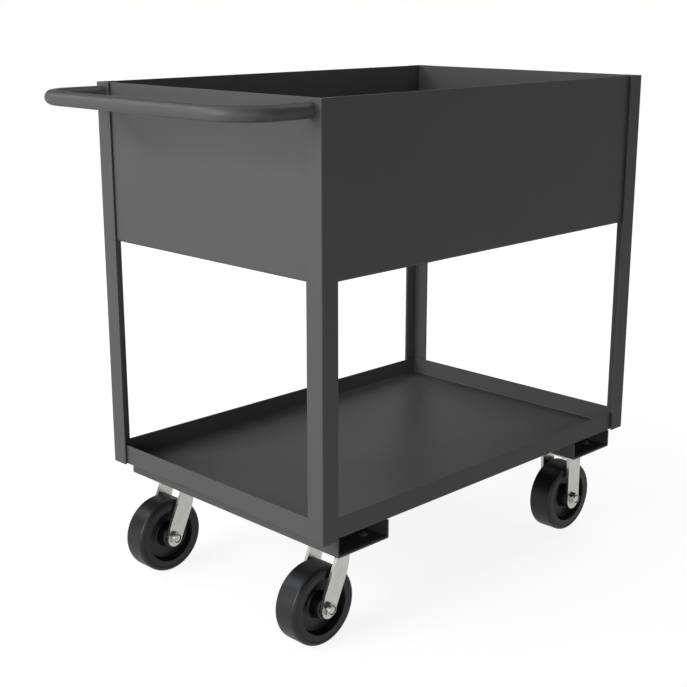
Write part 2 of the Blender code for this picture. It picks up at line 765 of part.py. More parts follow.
def axle_nut_mesh():
    """A lock nut on the right leg: a hexagon with the round collar of its insert."""
    bore = AXLE_DIAMETER / 2 + SEAT
    end = AXLE_NUT_HEIGHT + AXLE_NUT_COLLAR
    mesh = combine(
        "axle_nut",
        hexagon(AXLE_FLATS, 0, AXLE_NUT_HEIGHT),
        ("UNION", [rod(AXLE_NUT_COLLAR_DIAMETER / 2, AXLE_NUT_HEIGHT / 2, end)]),
        ("DIFFERENCE", [rod(bore, -SHEET, end + SHEET)]),
    )
    mesh.transform(Matrix.Rotation(math.pi / 2, 4, "X"))
    mesh.transform(Matrix.Translation((0, -LEG_OUTSIDE - SEAT, 0)))
    return mesh


def build_wheels(casters, kind, axle_x):
    """A wheel with its bearing, bushing, bolt and nut, all placed on the axle."""
    pieces = (
        ("wheel", WHEEL_MESH, MOULDED),
        ("bearing", BEARING_MESH, BEARING_STEEL),
        ("bushing", BUSHING_MESH, ZINC),
        ("axle_bolt", AXLE_BOLT_MESH, ZINC),
        ("axle_nut", AXLE_NUT_MESH, ZINC),
    )
    for side, caster in casters.items():
        for name, mesh, finish in pieces:
            node(f"{kind}_{name}_{side}", mesh, finish, (axle_x, 0, AXLE_HEIGHT), parent=caster)


def caster_empties(kind, x):
    """One empty for each caster, on the floor under the middle of its plate."""
    made = {}
    for side, sign in (("left", 1), ("right", -1)):
        empty = bpy.data.objects.new(f"{kind}_caster_{side}", None)
        empty.location = (DECK_X + x, sign * CASTER_TRACK / 2, 0)
        CART.objects.link(empty)
        made[side] = empty
    return made


clear_scene()
CART = collection("stock_cart")
CUTTERS = collection("cutters")

WHEEL_MESH = wheel_mesh()
BEARING_MESH = bearing_mesh()
BUSHING_MESH = bushing_mesh()
AXLE_BOLT_MESH = axle_bolt_mesh()
AXLE_NUT_MESH = axle_nut_mesh()

build_posts()
tray("top_bin", BIN_BOTTOM, BIN_DEPTH)
tray("lower_shelf", SHELF_BOTTOM, SHELF_DEPTH)
build_channels()
build_handle()

swivels = caster_empties("swivel", -CHANNEL_X)
rigids = caster_empties("rigid", CHANNEL_X - RIGID_SHIFT)
build_swivel_plates(swivels)
build_ball_rings(swivels)
build_forks(swivels)
build_kingpins(swivels)
build_rigid_brackets(rigids)
build_wheels(swivels, "swivel", -SWIVEL_TRAIL)
build_wheels(rigids, "rigid", 0.0)
build_caster_bolts([*swivels.values(), *rigids.values()])
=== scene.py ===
"""Looks of a stock cart: its finished pieces, their materials and the studio round it.

Metres, +Z up, +X the way the cart is pushed. Left is +Y and right is -Y. Casters are
shaped with the middle of their plate over the origin, then moved to their places."""

import json
import math

import bmesh
import bpy
from bpy.props import FloatProperty, FloatVectorProperty, IntProperty, PointerProperty
from mathutils import Matrix, Vector


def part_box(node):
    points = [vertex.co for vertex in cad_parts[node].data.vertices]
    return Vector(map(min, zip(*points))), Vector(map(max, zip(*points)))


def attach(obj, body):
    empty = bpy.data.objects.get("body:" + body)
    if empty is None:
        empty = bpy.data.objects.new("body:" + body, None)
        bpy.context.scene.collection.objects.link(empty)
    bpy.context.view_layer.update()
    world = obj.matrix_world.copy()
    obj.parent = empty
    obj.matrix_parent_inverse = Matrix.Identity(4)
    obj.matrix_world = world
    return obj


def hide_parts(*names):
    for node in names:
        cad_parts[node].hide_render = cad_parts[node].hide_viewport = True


bl_info = {
    "name": "Stock Cart",
    "version": (1, 0, 0),
    "blender": (4, 5, 0),
    "location": "View3D > Sidebar > Stock Cart",
    "description": "Builds the finished pieces of a stock cart and a studio round it",
    "category": "Object",
}

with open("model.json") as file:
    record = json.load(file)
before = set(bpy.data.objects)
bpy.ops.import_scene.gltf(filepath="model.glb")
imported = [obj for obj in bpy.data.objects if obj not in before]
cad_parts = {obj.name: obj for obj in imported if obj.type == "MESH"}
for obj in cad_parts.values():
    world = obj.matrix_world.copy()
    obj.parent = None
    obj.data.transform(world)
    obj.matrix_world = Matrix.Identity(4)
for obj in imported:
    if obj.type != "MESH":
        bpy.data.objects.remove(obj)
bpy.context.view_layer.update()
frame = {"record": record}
BODY_OF = {
    node: body
    for body, nodes in frame["record"]["behaviour"]["bodies"].items()
    for node in nodes
}

SIDES = ("left", "right")
KINDS = ("swivel", "rigid")
SEAT = 0.0003  # gap between pieces that touch
PLAY = 0.0004  # gap round a bolt or pin in its hole
MERGE = 0.00001  # vertices as close as this are one
THROUGH = 0.02  # how far a cutter stands out of what it cuts
BESIDE = 0.06  # farther out than a caster's legs
ABOVE = 0.3  # higher than a caster
FULL = 0.999  # share of half a width at which two roundings of it nearly meet
FINE, ROUND, FOLD = 64, 32, 10  # faces round large shapes, round small ones, in a fold


# Sizes and colours that a user may change

def size(name, description, default):
    return FloatProperty(
        name=name, description=description, default=default, min=0.0, precision=5,
        subtype="DISTANCE", unit="LENGTH",
    )


def count(name, description, default):
    return IntProperty(name=name, description=description, default=default, min=3)


def colour(name, description, default):
    return FloatVectorProperty(
        name=name, description=description, default=default, min=0.0, max=1.0,
        size=3, subtype="COLOR",
    )


def strength(name, description, default):
    return FloatProperty(name=name, description=description, default=default, min=0.0)


class BodySizes(bpy.types.PropertyGroup):
    """Sizes of the welded body that its box doesn't give"""

    post_wall: size("Post wall", "Thickness of the posts' angle", 0.0048)
    post_root: size("Post root", "Radius in the angle's inner corner", 0.004)
    post_toe: size("Post toe", "Radius on the inner edge of each leg", 0.003)
    sheet: size("Sheet", "Thickness of the bin's and the shelf's sheet", 0.0027)
    sheet_fold: size("Sheet fold", "Outer radius of the trays' folds", 0.0055)
    channel_sheet: size("Channel sheet", "Thickness of the caster channels", 0.0034)
    channel_fold: size("Channel fold", "Outer radius of the channels' folds", 0.0038)
    nut_flats: size("Weld nut", "Weld nuts across their flats", 0.0165)
    nut_height: size("Weld nut height", "Height of the weld nuts", 0.005)
    pipe_wall: size("Pipe wall", "Wall of the handle's pipe", 0.0028)
    pipe_bend: size("Pipe bend", "Radius of the bends in the pipe's middle", 0.071)
    weld: size("Weld", "Thickness of the weld beads", 0.0042)
    stitch: size("Stitch", "Length of the channels' weld stitches", 0.042)
    edge: size("Cut edge", "Rounding of cut sheet edges under their paint", 0.0005)
    pipe_edge: size("Pipe edge", "Rounding of the pipe's cut ends", 0.0004)
    post_heel: size("Post heel", "Radius on the outer corner of the angle", 0.0022)
    post_tip: size("Post tip", "Radius on the outer edge of each leg", 0.0006)
    post_edge: size("Post edge", "Rounding of the posts' cut ends", 0.0003)


class CasterSizes(bpy.types.PropertyGroup):
    """Sizes of the four casters"""

    plate: size("Plate", "Thickness of the plates", 0.0063)
    plate_corner: size("Plate corner", "Radius of the plates' corners", 0.009)
    pitch: size("Bolt pitch", "Distance between the caster bolts", 0.0762)
    slot: size("Slot", "Width of the bolt slots", 0.011)
    slot_in: size("Slot run in", "How far a slot runs along the cart", 0.0048)
    slot_out: size("Slot run out", "How far a slot runs across the cart", 0.0079)
    leg: size("Leg", "Thickness of legs and crowns", 0.00635)
    gap: size("Leg gap", "Distance between the legs", 0.0629)
    bend: size("Leg bend", "Outer radius where a leg leaves its crown", 0.012)
    swivel_leg: size("Swivel leg", "Width of a swivel caster's leg", 0.038)
    swivel_end: size("Swivel leg end", "Diameter of a swivel leg's round end", 0.034)
    swivel_drop: size("Swivel drop", "Middle of the round end beyond the axle", 0.002)
    swivel_taper: size("Swivel taper", "Height over which the leg's end narrows", 0.025)
    swivel_lean: FloatProperty(
        name="Swivel lean", description="Lean of a swivel caster's legs",
        default=math.radians(24.8), subtype="ANGLE", unit="ROTATION",
    )
    crown: size("Crown", "Diameter of a swivel caster's crown", 0.0778)
    crown_back: size("Crown back", "Reach of the bent strip behind the kingpin", 0.030)
    crown_front: size("Crown front", "Reach of the bent strip before the kingpin", 0.003)
    swivel_flare: size("Swivel flare", "Height over which a swivel leg widens", 0.0205)
    rigid_leg: size("Rigid leg", "Width of a rigid caster's leg", 0.0405)
    rigid_drop: size("Rigid drop", "Middle of the leg's round end below the axle", 0.0038)
    rigid_crown: size("Rigid crown", "Length of a rigid caster's bent strip", 0.051)
    rigid_flare: size("Rigid flare", "Height over which a rigid leg widens", 0.045)
    ball: size("Ball", "Diameter of the balls", 0.0078)
    ball_circle: size("Ball circle", "Diameter of the circle of balls", 0.062)
    race: size("Race opening", "Gap between plate and crown", 0.004)
    balls: count("Balls", "Balls in a race", 10)
    kingpin: size("Kingpin", "Diameter of the kingpins", 0.0159)
    kingpin_head: size("Kingpin head", "Diameter of the countersunk heads", 0.027)
    kingpin_nut: size("Kingpin nut", "Kingpin nuts across their flats", 0.0238)
    wheel_width: size("Wheel width", "Width of the wheels over their treads", 0.053)
    tread_corner: size("Tread corner", "Radius of the treads' corners", 0.0075)
    crease: size("Crease", "Depth of the crease inside the treads' corners", 0.0008)
    hub: size("Hub", "Diameter of the hubs", 0.044)
    rim_bore: size("Rim bore", "Diameter of the recess in a wheel's side", 0.108)
    web: size("Web", "Thickness of the wheels' webs", 0.019)
    bushing: size("Bushing", "Diameter of the spanner bushings", 0.0222)
    roller: size("Roller", "Diameter of the bearing rollers", 0.005)
    rollers: count("Rollers", "Rollers in a hub", 12)
    axle: size("Axle", "Diameter of the axle bolts", 0.0159)
    axle_flats: size("Axle flats", "Axle bolts and nuts across their flats", 0.0238)
    axle_head: size("Axle head", "Height of the axle bolts' heads", 0.0095)
    axle_nut: size("Axle nut", "Height of the axle nuts' hexagons", 0.0068)
    axle_collar: size("Axle nut collar", "Height of the axle nuts' collars", 0.0026)
    collar: size("Collar", "Diameter of the axle nuts' collars", 0.0205)
    collar_lip: size("Collar lip", "Thickness of the collars round their inserts", 0.0012)
    bolt: size("Caster bolt", "Diameter of the caster bolts", 0.0094)
    bolt_flats: size("Caster bolt flats", "Caster bolts across their flats", 0.0143)
    bolt_head: size("Caster bolt head", "Height of the caster bolts' heads", 0.0042)


class CartColours(bpy.types.PropertyGroup):
    """Colours of the finishes"""

    paint: colour("Powder coat", "Grey of the powder coat", (0.117, 0.117, 0.117))
    zinc: colour("Zinc", "Plated steel of legs and plates", (0.70, 0.715, 0.675))
    resin: colour("Resin", "Moulded wheels", (0.012, 0.012, 0.0127))
    steel: colour("Bearing steel", "Balls and rollers", (0.4, 0.4, 0.4))
    nylon: colour("Nylon", "Insert of the axle nuts", (0.02, 0.02, 0.021))


class StudioSettings(bpy.types.PropertyGroup):
    """Lamps, floor and camera"""

    key: strength("Key", "Power of the lamp behind the handle, in watts", 91.0)
    front: strength("Front", "Power of the low lamp on the camera's left, in watts", 23.0)
    far: strength("Far", "Power of the lamp above the far end, in watts", 23.0)
    top: strength("Top", "Power of the lamp above the cart, in watts", 14.0)
    back: strength("Back", "Power of the lamp on the far left, in watts", 11.0)
    spark: strength("Spark", "Power of the small cool lamp high on the left", 20.0)
    horizon: strength("Horizon", "Brightness of the walls in clear reflections", 0.45)
    ceiling: strength("Ceiling", "Brightness of the ceiling in clear reflections", 0.0)
    bounce: strength("Floor grey", "How much of the lamps' light the floor returns", 0.3)
    glow: strength("Floor glow", "Light added to the floor in clear reflections", 0.54)
    white: strength("Floor white", "Light added to the floor as the camera sees it", 0.88)
    lens: FloatProperty(
        name="Lens", description="Focal length", default=66.97, min=1.0,
        subtype="DISTANCE_CAMERA", unit="CAMERA",
    )


# Shapes

def middle_of(node):
    low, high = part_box(node)
    return (low + high) / 2


def at(x, y, z):
    """The move from the origin to a place."""
    return Matrix.Translation((x, y, z))


def turn(degrees, axis):
    return Matrix.Rotation(math.radians(degrees), 4, axis)


def moved(bm, matrix):
    bmesh.ops.transform(bm, matrix=matrix, verts=bm.verts)
    return bm


def across(bm):
    """Lays a shape that stands along Z along Y, its top towards the left."""
    return moved(bm, turn(-90, "X"))


def on_side(bm):
    """Stands an outline up: its Y becomes height, and its thickness lies along Y."""
    return moved(bm, turn(90, "X"))


def edges_where(bm, test):
    """The edges with both ends where a test holds."""
    return [edge for edge in bm.edges if all(test(vert.co) for vert in edge.verts)]


def new_verts(grown):
    """The vertices that an extrusion has made."""
    return [item for item in grown["geom"] if isinstance(item, bmesh.types.BMVert)]


def rounded(bm, edges, radius, segments):
    bmesh.ops.bevel(
        bm, geom=edges, offset=radius, segments=segments, profile=0.5, affect="EDGES",
        material=-1,
    )
    return bm


def upright_edges(bm, x, y):
    """The edges along Z at one place."""
    return edges_where(bm, lambda co: (co.xy - Vector((x, y))).length < MERGE)


def ring_edges(bm, radius, height):
    """The edges of a ring round Z."""
    return edges_where(
        bm, lambda co: max(abs(co.xy.length - radius), abs(co.z - height)) < MERGE
    )


def slab(outline, low, high, corners=()):
    """A flat outline pulled up, with some of its corners rounded."""
    bm = bmesh.new()
    face = bm.faces.new([bm.verts.new((x, y, low)) for x, y in outline])
    top = new_verts(bmesh.ops.extrude_face_region(bm, geom=[face]))
    bmesh.ops.translate(bm, vec=(0, 0, high - low), verts=top)
    faced(bm)
    for index, radius, segments in corners:
        rounded(bm, upright_edges(bm, *outline[index]), radius, segments)
    return bm


def rod(radius, low, high, steps=ROUND, place=(0, 0)):
    """An upright cylinder, or a prism when it has few steps."""
    bm = bmesh.new()
    bmesh.ops.create_cone(
        bm, cap_ends=True, segments=steps, radius1=radius, radius2=radius,
        depth=high - low, matrix=at(*place, (low + high) / 2),
    )
    return bm


def swept(start, corner, end, steps=10):
    """Points of a curve that leaves its start for the corner, then heads for its end."""
    start, corner, end = Vector(start), Vector(corner), Vector(end)
    shares = [i / steps for i in range(steps + 1)]
    return [tuple(start.lerp(corner, t).lerp(corner.lerp(end, t), t)) for t in shares]


def row(points, closed=False):
    """Vertices in a row with edges between them."""
    bm = bmesh.new()
    verts = [bm.verts.new(point) for point in points]
    for pair in zip(verts, verts[1:] + verts[:1] if closed else verts[1:]):
        bm.edges.new(pair)
    return bm


def spun(bm, steps, turns=1, rise=0.0):
    """Turns what a shape holds round Z, and for a winding also lifts it at each step."""
    bmesh.ops.spin(
        bm, geom=[*bm.verts, *bm.edges], cent=(0, 0, 0), axis=(0, 0, 1),
        dvec=(0, 0, rise), angle=2 * math.pi * turns, steps=steps * turns,
        use_merge=not rise, use_duplicate=False,
    )
    bmesh.ops.remove_doubles(bm, verts=bm.verts, dist=MERGE)
    return bm


def faced(bm):
    """Turns the faces of a shape outwards."""
    bmesh.ops.recalc_face_normals(bm, faces=bm.faces)
    return bm


def turned(profile, steps=ROUND, closed=False):
    """A profile of radii and heights turned all the way round Z."""
    return faced(spun(row([(x, 0, z) for x, z in profile], closed), steps))


def washer(inner, outer, low, high):
    """A ring with flat sides round Z."""
    profile = [(inner, high), (outer, high), (outer, low), (inner, low)]
    return turned(profile, FINE, closed=True)


def ring_bar(radius, thick, height=0.0, sides=20, steps=FINE):
    """A round bar bent into a ring round Z."""
    bm = bmesh.new()
    end = at(radius, 0, height) @ turn(90, "X")
    bmesh.ops.create_circle(bm, cap_ends=False, segments=sides, radius=thick, matrix=end)
    return faced(spun(bm, steps))


def softened(bm, rings, segments=4):
    """Rounds rings of a turned shape, each given by its radius, height and rounding."""
    for radius, height, rounding in rings:
        rounded(bm, ring_edges(bm, radius, height), rounding, segments)
    return bm


def thread(radius, pitch, low, high):
    """A screw thread: a ridge wound round Z, just under its shank, with flat ends."""
    steps = 24
    radius -= 3 * MERGE
    root = radius - 0.6 * pitch  # the depth of a cut thread
    turns = math.ceil((high - low) / pitch) + 2
    ridge = [(root, 0), (radius, 0.42), (radius, 0.55), (root, 0.97), (root, 1)]
    bm = row([(r, 0, low - pitch + share * pitch) for r, share in ridge])
    spun(bm, steps, turns, pitch / steps)
    for height, side in ((low, -1), (high, 1)):
        bmesh.ops.bisect_plane(
            bm, geom=[*bm.verts, *bm.edges, *bm.faces], dist=MERGE / 10,
            plane_co=(0, 0, height), plane_no=(0, 0, side), clear_outer=True,
        )
    bmesh.ops.holes_fill(bm, edges=[e for e in bm.edges if e.is_boundary])
    return faced(bm)


def mesh_of(name, bm):
    mesh = bpy.data.meshes.new(name)
    faced(bm).to_mesh(mesh)
    bm.free()
    return mesh


def linked(name, data):
    """A new object in the scene."""
    obj = bpy.data.objects.new(name, data)
    bpy.context.scene.collection.objects.link(obj)
    return obj


def combined(base, *steps):
    """Joins, cuts or trims a shape: each step is an operation and the shapes it uses."""
    body = linked("shape", mesh_of("shape", base))
    tools = []
    for operation, shapes in steps:
        for shape in shapes:
            tools.append(linked("tool", mesh_of("tool", shape)))
            modifier = body.modifiers.new(operation, "BOOLEAN")
            modifier.operation = operation
            modifier.solver = "EXACT"
            modifier.object = tools[-1]
    bpy.context.view_layer.update()
    graph = bpy.context.evaluated_depsgraph_get()
    mesh = bpy.data.meshes.new_from_object(body.evaluated_get(graph), depsgraph=graph)
    bm = bmesh.new()
    bm.from_mesh(mesh)
    bmesh.ops.remove_doubles(bm, verts=bm.verts, dist=MERGE)
    for used in (body, *tools):
        data = used.data
        bpy.data.objects.remove(used, do_unlink=True)
        bpy.data.meshes.remove(data)
    bpy.data.meshes.remove(mesh)
    return bm


def joined(*shapes):
    """Several shapes in one mesh."""
    bm = bmesh.new()
    for shape in shapes:
        mesh = mesh_of("part", shape)
        bm.from_mesh(mesh)
        bpy.data.meshes.remove(mesh)
    return bm


def dressed(name, mesh, coat, edge=0.0, wall=0.0):
    """An object with its finish, its rounded edges and its sheet's thickness."""
    mesh.materials.clear()
    mesh.materials.append(finish(coat))
    mesh.shade_smooth()
    obj = linked(name, mesh)
    if wall:
        shell = obj.modifiers.new("wall", "SOLIDIFY")
        shell.thickness = wall
        shell.offset = -1
        shell.use_even_offset = True
    if edge:
        bevel = obj.modifiers.new("edge", "BEVEL")
        bevel.width = edge
        bevel.segments = 2
        bevel.limit_method = "ANGLE"
        bevel.angle_limit = math.radians(40)
        bevel.harden_normals = True
    else:
        mesh.set_sharp_from_angle(angle=math.radians(35))
    obj.modifiers.new("shade", "WEIGHTED_NORMAL").keep_sharp = True
    return obj


def piece(name, node, mesh, coat, edge=0.0, wall=0.0):
    """A finished piece that stands for a CAD node and moves with that node's body."""
    obj = dressed(name, mesh, coat, edge, wall)
    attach(obj, BODY_OF[node])
    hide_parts(node)


def moved_copy(shape, place):
    mesh = shape.copy()
    mesh.transform(at(*place))
    return mesh


def set_out(places, *parts):
    """Copies parts to the casters: name, node, mesh, finish and a rounding, if any.

    Braces in a name or node stand for the caster's kind, and its side is put behind."""
    for (kind, side), place in places.items():
        for name, node, mesh, *looks in parts:
            name, node = [f"{text.format(kind)}_{side}" for text in (name, node)]
            piece(name, node, moved_copy(mesh, place), *looks)


def plate_places(*kinds):
    """The middle of each caster's plate, on the floor under it."""
    nodes = {"swivel": "swivel_plate", "rigid": "rigid_bracket"}
    return {
        (kind, side): middle_of(f"{nodes[kind]}_{side}") * Vector((1, 1, 0))
        for kind in kinds for side in SIDES
    }


def axle_places():
    return {
        (kind, side): middle_of(f"{kind}_wheel_{side}")
        for kind in KINDS for side in SIDES
    }


# Materials

class Nodes:
    """The nodes of a material or a world, while they are put together."""

    def __init__(self, owner):
        owner.use_nodes = True
        self.owner = owner
        self.tree = owner.node_tree
        self.coordinates = self.tree.nodes.new("ShaderNodeTexCoord").outputs

    def feed(self, sockets, values):
        """Sets sockets to numbers and colours, or links them to other nodes' outputs."""
        for key, value in values.items():
            if isinstance(value, bpy.types.NodeSocket):
                self.tree.links.new(value, sockets[key])
            else:
                sockets[key].default_value = value

    def add(self, kind, inputs=None, **settings):
        node = self.tree.nodes.new(kind)
        for key, value in settings.items():
            setattr(node, key, value)
        self.feed(node.inputs, inputs or {})
        return node

    def surface(self, values):
        """Sets the shader's sockets, and gives the finished material."""
        self.feed(self.tree.nodes["Principled BSDF"].inputs, values)
        return self.owner

    def noise(self, scale, detail, stretch=(1, 1, 1)):
        """Noise on the piece itself, at a scale in waves a metre."""
        mapping = self.add(
            "ShaderNodeMapping", {"Vector": self.coordinates["Object"], "Scale": stretch}
        )
        inputs = {"Vector": mapping.outputs["Vector"], "Scale": scale, "Detail": detail}
        return self.add("ShaderNodeTexNoise", inputs).outputs["Fac"]

    def tones(self, factor, colour, spread, warm=0.0):
        """A colour that drifts a little to both sides of itself."""
        ramp = self.add("ShaderNodeValToRGB", {"Fac": factor})
        low, high = ramp.color_ramp.elements
        low.position, high.position = 0.35, 0.65
        low.color = (*[c * (1 - spread) for c in colour], 1)
        red, green, blue = [c * (1 + spread) for c in colour]
        high.color = (red * (1 + warm), green, blue * (1 - warm), 1)
        return ramp.outputs["Color"]

    def between(self, factor, low, high):
        inputs = {"Value": factor, "To Min": low, "To Max": high}
        return self.add("ShaderNodeMapRange", inputs).outputs["Result"]

    def smooth_range(self, value, start, end, low, high):
        """A number that goes from low to high as a value goes from start to end."""
        return self.add(
            "ShaderNodeMapRange", dict(enumerate((value, start, end, low, high))),
            interpolation_type="SMOOTHSTEP",
        ).outputs["Result"]

    def bumped(self, height, distance, strength, **under):
        inputs = {"Height": height, "Distance": distance, "Strength": strength, **under}
        return self.add("ShaderNodeBump", inputs).outputs["Normal"]

    def rubbed(self, radius, colour, lift):
        """A colour that turns lighter at edges: partly a thin or rubbed coat, partly a
        painted edge highlight.
        """
        soft = self.add("ShaderNodeBevel", {"Radius": radius}, samples=6)
        true = self.add("ShaderNodeNewGeometry")
        pair = {0: soft.outputs["Normal"], 1: true.outputs["Normal"]}
        same = self.add("ShaderNodeVectorMath", pair, operation="DOT_PRODUCT")
        angle = {"Value": same.outputs["Value"], "From Min": 0.99, "From Max": 0.85}
        edge = self.add("ShaderNodeMapRange", {**angle, "To Max": lift})
        lighter = {0: edge.outputs["Result"], 6: colour, 7: (1, 1, 1, 1)}
        return self.add("ShaderNodeMix", lighter, data_type="RGBA").outputs[2]

    def by_ray(self, seen, mirrored):
        """A strength that the camera sees, one for clear reflections, none elsewhere."""
        path = self.add("ShaderNodeLightPath").outputs
        total = 0.0
        for ray, strength in (("Is Camera Ray", seen), ("Is Glossy Ray", mirrored)):
            total = self.add(
                "ShaderNodeMath", {0: path[ray], 1: strength, 2: total},
                operation="MULTIPLY_ADD",
            ).outputs[0]
        return total


def powder_coat(coat, colour):
    """Baked powder: matt, with a fine orange peel and hardly any drift in its grey."""
    grey = coat.tones(coat.noise(5.0, 4.0), colour, 0.03)
    grain = coat.noise(2200.0, 1.0)
    peel = coat.bumped(coat.noise(420.0, 3.0), 0.00006, 0.5)
    return {
        # edges lighten a little: thin or rubbed powder, and a painted edge highlight
        "Base Color": coat.rubbed(0.0012, grey, 0.05),
        "Roughness": coat.between(grain, 0.42, 0.54),
        "Normal": coat.bumped(grain, 0.00001, 0.4, Normal=peel),
        "Specular IOR Level": 0.4,
    }


def zinc_plate(coat, colour):
    """Bright zinc over rolled steel: soft cloudy tones and a fine drawn grain."""
    cloud = coat.noise(70.0, 5.0)
    return {
        # edges lighten towards white: wear, and a painted edge highlight
        "Base Color": coat.rubbed(0.0008, coat.tones(cloud, colour, 0.05, 0.02), 0.3),
        "Roughness": coat.between(cloud, 0.22, 0.34),
        "Normal": coat.bumped(coat.noise(900.0, 3.0, (1, 1, 0.12)), 0.00002, 0.35),
        "Metallic": 1.0,
    }


def moulded_resin(coat, colour):
    """Near-black moulded resin with a faint fleck and a satin skin."""
    fleck = coat.noise(650.0, 4.0)
    return {
        # edges lighten faintly: wear, and a painted edge highlight
        "Base Color": coat.rubbed(0.0006, coat.tones(fleck, colour, 0.22), 0.02),
        "Roughness": coat.between(coat.noise(90.0, 3.0), 0.35, 0.47),
        "Normal": coat.bumped(fleck, 0.00003, 0.35),
    }


def bearing_steel(coat, colour):
    """Ground steel with a thin film of grease."""
    film = coat.noise(160.0, 4.0)
    return {
        "Base Color": coat.tones(film, colour, 0.12, 0.03),
        "Roughness": coat.between(film, 0.16, 0.34),
        "Normal": coat.bumped(coat.noise(3000.0, 2.0), 0.000006, 0.3),
        "Metallic": 1.0,
    }


def nylon(coat, colour):
    """The dark insert of a lock nut."""
    skin = coat.noise(800.0, 3.0)
    return {
        "Base Color": coat.tones(skin, colour, 0.1),
        "Roughness": coat.between(skin, 0.4, 0.55),
        "Normal": coat.bumped(skin, 0.00002, 0.3),
    }


FINISHES = {
    "powder_coat": ("paint", powder_coat),
    "zinc_plate": ("zinc", zinc_plate),
    "moulded_wheel": ("resin", moulded_resin),
    "bearing_steel": ("steel", bearing_steel),
    "nylon": ("nylon", nylon),
}
MADE = {}


def finish(coat):
    """The material of a finish, which is called as its slot, or nylon for want of one."""
    if coat not in MADE:
        key, looks = FINISHES[coat]
        nodes = Nodes(bpy.data.materials.new(f"{looks.__name__}_finish"))
        colour = getattr(bpy.context.scene.stock_cart_colours, key)
        MADE[coat] = nodes.surface(looks(nodes, colour))
    return MADE[coat]


# Welded body

def post_mesh(box, sizes, x_side, y_side):
    """Rolled angle: a nearly sharp heel, a fillet in the root and rounded toes."""
    low, high = box
    leg, wall = high.x - low.x, sizes.post_wall
    outline = [(0, 0), (leg, 0), (leg, wall), (wall, wall), (wall, leg), (0, leg)]
    corners = (
        (0, sizes.post_heel, 6), (1, sizes.post_tip, 3), (5, sizes.post_tip, 3),
        (2, sizes.post_toe, 8), (4, sizes.post_toe, 8), (3, sizes.post_root, 8),
    )
    bm = slab(outline, low.z, high.z, corners)
    heel = (high.x if x_side > 0 else low.x, high.y if y_side > 0 else low.y, 0)
    mirror = Matrix.Diagonal((-x_side, -y_side, 1, 1))
    return mesh_of("post", moved(bm, at(*heel) @ mirror))


class STOCKCART_OT_posts(bpy.types.Operator):
    """Build the four corner posts"""

    bl_idname = "stockcart.posts"
    bl_label = "Corner Posts"

    def execute(self, context):
        sizes = context.scene.stock_cart_body
        for end, x_side in (("handle", -1), ("far", 1)):
            for side, y_side in (("left", 1), ("right", -1)):
                node = f"corner_post_{end}_{side}"
                mesh = post_mesh(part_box(node), sizes, x_side, y_side)
                piece(f"post_{end}_{side}", node, mesh, "powder_coat", sizes.post_edge)
        return {"FINISHED"}


class STOCKCART_OT_trays(bpy.types.Operator):
    """Build the folded bin and shelf"""

    bl_idname = "stockcart.trays"
    bl_label = "Bin and Shelf"

    def execute(self, context):
        sizes = context.scene.stock_cart_body
        for name, node in (("bin", "top_bin"), ("shelf", "lower_shelf")):
            low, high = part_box(node)
            bm = bmesh.new()
            bmesh.ops.create_cube(bm, size=1.0)
            bmesh.ops.scale(bm, vec=high - low, verts=bm.verts)
            bmesh.ops.translate(bm, vec=(low + high) / 2, verts=bm.verts)
            open_side = [face for face in bm.faces if face.normal.z > 0.9]
            bmesh.ops.delete(bm, geom=open_side, context="FACES_ONLY")
            folds = [edge for edge in bm.edges if not edge.is_boundary]
            rounded(bm, folds, sizes.sheet_fold, FOLD)
            piece(name, node, mesh_of(name, bm), "powder_coat", sizes.edge, sizes.sheet)
        return {"FINISHED"}


def bolt_places(sizes):
    half = sizes.pitch / 2
    return [(sx * half, sy * half) for sx in (-1, 1) for sy in (-1, 1)]


def chamfered_hexagon(flats, low, high, both=False):
    """A hexagon with its corners turned off above, and below too for a nut.

    The cuts stay short of each other on a thin one."""
    half = flats / 2
    corner = half / math.cos(math.pi / 6)
    far = 1.2 * corner
    drop = min(0.45 * (high - low), (far - half) * math.tan(math.pi / 6))
    foot = [(far, low + drop), (half, low)] if both else [(far, low)]
    profile = [(0, high), (half, high), (far, high - drop), *foot, (0, low)]
    return combined(rod(corner, low, high, 6), ("INTERSECT", [turned(profile, FINE)]))


